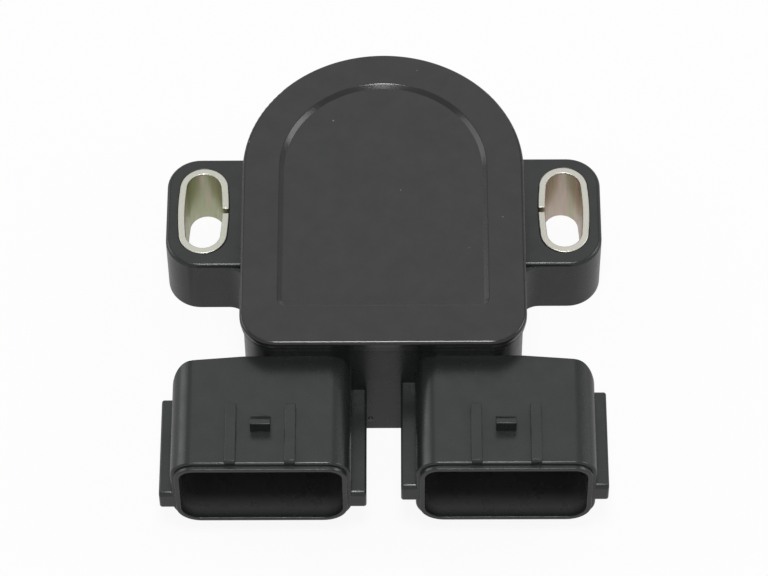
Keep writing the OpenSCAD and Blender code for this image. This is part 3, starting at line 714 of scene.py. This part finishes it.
def porous_bronze(metals):
    """Sintered bronze with dark pores."""
    material, tree, shader = new_material("porous_bronze")
    pores = add(tree, "TexVoronoi", {"Vector": object_place(tree), "Scale": 6500.0})
    pit = ramp(tree, pores.outputs["Distance"], 0.12, 0.30)
    dark = [PORE_SHADE * level for level in metals.bronze_colour]
    tone = blend_colours(tree, pit, rgba(dark), rgba(metals.bronze_colour))
    bump = add(tree, "Bump", {"Strength": 1.0, "Distance": 0.006 * MM, "Height": pit})
    set_sockets(tree, shader, {
        "Base Color": tone, "Roughness": ramp(tree, pit, 0.0, 1.0, 0.7, 0.42),
        "Normal": bump.outputs[0], "Metallic": 0.9,
    })
    return material


def soft_material(name, colour, patch, roughness, grain, depth):
    """Rubber, acetal or ink: a mottled skin with a fine grain."""
    material, tree, shader = new_material(name)
    skin = use_group(tree, "mottle", {
        "Colour": rgba(colour), "Patch Colour": rgba(patch), "Patch Size": 1.2 * MM,
        "Roughness": roughness, "Spread": 0.12,
    })
    surface = use_group(tree, "grain", {"Size": grain, "Depth": depth})
    set_sockets(tree, shader, {
        "Base Color": skin["Colour"], "Roughness": skin["Roughness"], "Normal": surface["Normal"],
    })
    return material


def board_laminate(inner):
    """Green lacquer over woven glass."""
    material, tree, shader = new_material("board_laminate")
    place = object_place(tree)
    turn_per_metre = 2 * math.pi / inner.weave_pitch
    split = add(tree, "SeparateXYZ", {0: place}).outputs
    waves = []
    for axis in ("X", "Y"):
        phase = add(tree, "Math", {0: split[axis], 1: turn_per_metre}, operation="MULTIPLY").outputs[0]
        waves.append(add(tree, "Math", {0: phase}, operation="SINE").outputs[0])
    weave = add(tree, "Math", {0: waves[0], 1: waves[1]}, operation="MULTIPLY").outputs[0]
    tone = blend_colours(tree, ramp(tree, weave, -1.0, 1.0), rgba(inner.lacquer_low),
                         rgba(inner.lacquer_high))
    bump = add(tree, "Bump", {"Strength": 1.0, "Distance": 0.004 * MM, "Height": weave})
    skin = use_group(tree, "mottle", {"Roughness": 0.28, "Spread": 0.1})
    set_sockets(tree, shader, {
        "Base Color": tone, "Roughness": skin["Roughness"], "Normal": bump.outputs[0],
    })
    return material


# Pieces

class SENSOR_OT_effects(bpy.types.Operator):
    """Build the effects that the materials share."""

    bl_idname = "sensor.effects"
    bl_label = "Shared effects"

    def execute(self, context):
        make_groups()
        return {"FINISHED"}


class SENSOR_OT_housing(bpy.types.Operator):
    """Round the housing's moulded edges and give it its plastic."""

    bl_idname = "sensor.housing"
    bl_label = "Housing"

    def execute(self, context):
        looks = context.scene.sensor_plastic
        piece = merged_copy("housing", "moulded_housing")
        round_edges(piece, looks.edge_radius)
        material = moulded_plastic("housing_plastic", looks.body_colour, looks.body_roughness, looks)
        finish_piece(piece, material, "root", "body_plastic", "housing")
        return {"FINISHED"}


class SENSOR_OT_cover(bpy.types.Operator):
    """Round the cover's moulded edges and give it its plastic."""

    bl_idname = "sensor.cover"
    bl_label = "Cover"

    def execute(self, context):
        looks = context.scene.sensor_plastic
        piece = merged_copy("cover", "moulded_cover")
        round_edges(piece, looks.edge_radius)
        material = moulded_plastic("cover_plastic", looks.cover_colour, looks.cover_roughness, looks)
        finish_piece(piece, material, "root", "cover_plastic", "cover")
        return {"FINISHED"}


class SENSOR_OT_bushings(bpy.types.Operator):
    """Give the two rolled bushings rounded rims and their plating."""

    bl_idname = "sensor.bushings"
    bl_label = "Bushings"

    def execute(self, context):
        material = chromated_zinc(context.scene.sensor_metal)
        for side in ("left", "right"):
            piece = merged_copy("bushing_" + side, "rolled_bushing_" + side)
            round_edges(piece, BUSHING_EDGE, segments=3)
            finish_piece(piece, material, "root", "plated_steel", "bushing_" + side)
        return {"FINISHED"}


class SENSOR_OT_rotor(bpy.types.Operator):
    """Give the rotor, its bearing and its seals their finish."""

    bl_idname = "sensor.rotor"
    bl_label = "Rotor and bearing"

    def execute(self, context):
        metals = context.scene.sensor_metal
        shaft = merged_copy("rotor_shaft", "turned_shaft")
        round_edges(shaft, SHAFT_EDGE)
        steel = turned_metal("turned_steel", metals.shaft_colour, 0.30)
        finish_piece(shaft, steel, "rotor", "shaft_steel", "rotor_shaft")
        dress("rotor_bearing", porous_bronze(metals))
        washer = drawn_metal("washer_steel", metals.washer_colour, 0.30, (900, 6000, 6000))
        dress("thrust_washer", washer)
        ring = drawn_metal("ring_steel", metals.ring_colour, 0.38, (6000, 900, 6000))
        dress("retaining_ring", ring)
        inner = context.scene.sensor_inner
        rubber = soft_material("seal_rubber", inner.rubber_colour, inner.rubber_patch, 0.62,
                               0.12 * MM, 0.004 * MM)
        dress("shaft_seal", rubber)
        dress("cover_seal", rubber)
        return {"FINISHED"}


class SENSOR_OT_spring(bpy.types.Operator):
    """Give the return spring its drawn wire."""

    bl_idname = "sensor.spring"
    bl_label = "Return spring"

    def execute(self, context):
        colour = context.scene.sensor_metal.wire_colour
        dress("return_spring", drawn_metal("spring_wire", colour, 0.26, (500, 500, 9000)))
        return {"FINISHED"}


class SENSOR_OT_wiper(bpy.types.Operator):
    """Give the wiper carrier and its brushes their finish."""

    bl_idname = "sensor.wiper"
    bl_label = "Wiper"

    def execute(self, context):
        metals = context.scene.sensor_metal
        inner = context.scene.sensor_inner
        acetal = soft_material("wiper_acetal", inner.acetal_colour, inner.acetal_patch, 0.42,
                               0.3 * MM, 0.003 * MM)
        leaf = drawn_metal("contact_leaf", metals.contact_colour, 0.24, (5000, 600, 5000))
        dress("wiper_carrier", acetal)
        dress("sensor_brush", leaf)
        dress("switch_brush", leaf)
        return {"FINISHED"}


class SENSOR_OT_board(bpy.types.Operator):
    """Give the resistor board, its tracks and its solder their finish."""

    bl_idname = "sensor.board"
    bl_label = "Resistor board"

    def execute(self, context):
        metals = context.scene.sensor_metal
        inner = context.scene.sensor_inner
        carbon = soft_material("carbon_ink", inner.carbon_colour, inner.carbon_patch, 0.55,
                               0.05 * MM, 0.002 * MM)
        silver = drawn_metal("silver_ink", metals.silver_colour, 0.42, (3000, 3000, 3000))
        tin = drawn_metal("solder_tin", metals.solder_colour, 0.22, (1500, 1500, 1500))
        dress("resistor_board", board_laminate(inner))
        dress("resistor_track", carbon)
        dress("collector_track", silver)
        dress("switch_track", silver)
        dress("solder_joints", tin)
        return {"FINISHED"}


class SENSOR_OT_terminals(bpy.types.Operator):
    """Give the six terminals rounded blades and their tin."""

    bl_idname = "sensor.terminals"
    bl_label = "Terminals"

    def execute(self, context):
        metals = context.scene.sensor_metal
        tin = drawn_metal("terminal_tin", metals.terminal_colour, 0.30, (6000, 700, 6000))
        for family in ("sensor", "switch"):
            for way in (1, 2, 3):
                node = f"{family}_terminal_{way}"
                piece = merged_copy(node, f"{family}_blade_{way}")
                round_edges(piece, TERMINAL_EDGE)
                finish_piece(piece, tin, "root", "tinned_brass", node)
        return {"FINISHED"}


# Stage

def seen_by_lens(tree, camera_share, gloss_share):
    """The share of the backdrop's white that each kind of ray meets; scattered light meets none."""
    path = add(tree, "LightPath").outputs
    mirrored = add(tree, "Math", {0: path["Is Glossy Ray"], 1: path["Is Transmission Ray"]},
                   operation="ADD", use_clamp=True).outputs[0]
    gloss = add(tree, "Math", {0: mirrored, 1: gloss_share}, operation="MULTIPLY").outputs[0]
    camera = add(tree, "Math", {0: path["Is Camera Ray"], 1: camera_share},
                 operation="MULTIPLY").outputs[0]
    return add(tree, "Math", {0: camera, 1: gloss}, operation="ADD", use_clamp=True).outputs[0]


def floor_paper(stage):
    """Pale paper that looks white to the lens, takes the part's shadow, and is clear from below."""
    material, tree, shader = new_material("floor_paper")
    grain = use_group(tree, "grain", {"Size": 0.8 * MM, "Depth": 0.01 * MM})
    camera_ray = add(tree, "LightPath").outputs["Is Camera Ray"]
    bounce = [stage.bounce_level * level for level in stage.floor_colour]
    paper = blend_colours(tree, camera_ray, rgba(bounce), rgba(stage.floor_colour))
    set_sockets(tree, shader, {
        "Base Color": paper, "Roughness": 0.9, "Normal": grain["Normal"], "Specular IOR Level": 0.1,
    })
    white = add(tree, "Emission", {"Color": (1, 1, 1, 1), "Strength": 1.0})
    share = seen_by_lens(tree, 1 - stage.shadow_share, stage.gloss_share)
    paper_side = add(tree, "MixShader", {
        0: share, 1: tree.nodes["Principled BSDF"].outputs[0], 2: white.outputs[0],
    })
    behind = add(tree, "NewGeometry").outputs["Backfacing"]
    from_below = add(tree, "Math", {0: behind, 1: camera_ray}, operation="MULTIPLY").outputs[0]
    clear = add(tree, "BsdfTransparent")
    mixed = add(tree, "MixShader", {0: from_below, 1: paper_side.outputs[0], 2: clear.outputs[0]})
    tree.links.new(mixed.outputs[0], tree.nodes["Material Output"].inputs["Surface"])
    return material


def lamp(name, place, width, height, power):
    """Add a soft lamp that points at the part; its height runs up and down."""
    bpy.ops.object.light_add(type="AREA", location=place)
    made = bpy.context.object
    made.name = name
    made.data.shape = "RECTANGLE"
    made.data.size = width
    made.data.size_y = height
    made.data.energy = power
    made.rotation_euler = (Vector(LAMP_TARGET) - Vector(place)).to_track_quat("-Z", "Y").to_euler()
    made.visible_camera = False


def room_light(scene, stage):
    """Add a room that is white to the lens and dim to light that scatters."""
    scene.world = bpy.data.worlds.new("studio_room")
    scene.world.use_nodes = True
    tree = scene.world.node_tree
    height = add(tree, "SeparateXYZ", {0: add(tree, "TexCoord").outputs["Generated"]}).outputs["Z"]
    # Mirrored in full near the horizon, and by the room's gloss share from high up
    mirrored = ramp(tree, height, 0.10, 0.55, 1.0, stage.room_gloss)
    seen = seen_by_lens(tree, 1.0, mirrored)
    path = add(tree, "LightPath").outputs
    scattered = add(tree, "Math", {0: path["Is Diffuse Ray"], 1: stage.room_level},
                    operation="MULTIPLY").outputs[0]
    level = add(tree, "Math", {0: seen, 1: scattered}, operation="ADD").outputs[0]
    tree.links.new(level, tree.nodes["Background"].inputs["Strength"])
    tree.nodes["Background"].inputs["Color"].default_value = (1, 1, 1, 1)


def product_camera(scene, stage):
    """Add the camera that looks at the part from the photo's angle."""
    bpy.ops.object.camera_add()
    camera = bpy.context.object
    camera.name = "product_camera"
    camera.data.sensor_width = FILM_WIDTH
    camera.data.lens = stage.lens
    camera.data.clip_start = CLIP_NEAR
    camera.data.clip_end = CLIP_FAR
    turn = Matrix.Rotation(stage.camera_pan, 4, "Y") @ Matrix.Rotation(stage.camera_tilt, 4, "X")
    shift = (stage.camera_side, -stage.camera_drop, stage.camera_distance)
    camera.matrix_world = turn @ Matrix.Translation(shift)
    scene.camera = camera


class SENSOR_OT_stage(bpy.types.Operator):
    """Build the floor, the lamps, the room light and the camera."""

    bl_idname = "sensor.stage"
    bl_label = "Stage"

    def execute(self, context):
        stage = context.scene.sensor_stage
        bpy.ops.object.select_all(action="DESELECT")
        bpy.ops.mesh.primitive_plane_add(size=FLOOR_WIDTH, location=(0, 0, FLOOR_LIFT))
        floor = context.object
        floor.name = "paper_floor"
        floor.data.materials.append(floor_paper(stage))
        room_light(context.scene, stage)
        for name, place, width, height, power in LAMPS:
            lamp(name, place, width, height, getattr(stage, power))
        product_camera(context.scene, stage)
        context.scene.view_settings.view_transform = "Standard"
        return {"FINISHED"}


class SENSOR_PT_panel(bpy.types.Panel):
    """Lists the steps that build the sensor's looks."""

    bl_idname = "SENSOR_PT_panel"
    bl_label = "Throttle position sensor"
    bl_space_type = "VIEW_3D"
    bl_region_type = "UI"
    bl_category = "Sensor"

    def draw(self, context):
        for group in SETTINGS:
            settings = getattr(context.scene, group)
            box = self.layout.box()
            for field in settings.bl_rna.properties.keys():
                if field not in ("rna_type", "name"):
                    box.prop(settings, field)
        for step in STEPS:
            self.layout.operator(step.bl_idname)


SETTINGS = {
    "sensor_plastic": PlasticSettings, "sensor_metal": MetalSettings,
    "sensor_inner": InnerSettings, "sensor_stage": StageSettings,
}
STEPS = [
    SENSOR_OT_effects, SENSOR_OT_stage, SENSOR_OT_housing, SENSOR_OT_cover, SENSOR_OT_bushings,
    SENSOR_OT_rotor, SENSOR_OT_spring, SENSOR_OT_wiper, SENSOR_OT_board, SENSOR_OT_terminals,
]
CLASSES = [*SETTINGS.values(), *STEPS, SENSOR_PT_panel]


def register():
    """Make the classes and their settings known to Blender."""
    for cls in CLASSES:
        bpy.utils.register_class(cls)
    for name, group in SETTINGS.items():
        setattr(bpy.types.Scene, name, bpy.props.PointerProperty(type=group))


def unregister():
    """Take the settings and the classes away again."""
    for name in SETTINGS:
        delattr(bpy.types.Scene, name)
    for cls in reversed(CLASSES):
        bpy.utils.unregister_class(cls)


def main():
    """Register the classes and build every piece in order."""
    register()
    bpy.ops.sensor.effects()
    bpy.ops.sensor.stage()
    bpy.ops.sensor.housing()
    bpy.ops.sensor.cover()
    bpy.ops.sensor.bushings()
    bpy.ops.sensor.rotor()
    bpy.ops.sensor.spring()
    bpy.ops.sensor.wiper()
    bpy.ops.sensor.board()
    bpy.ops.sensor.terminals()


if __name__ == "__main__":
    main()
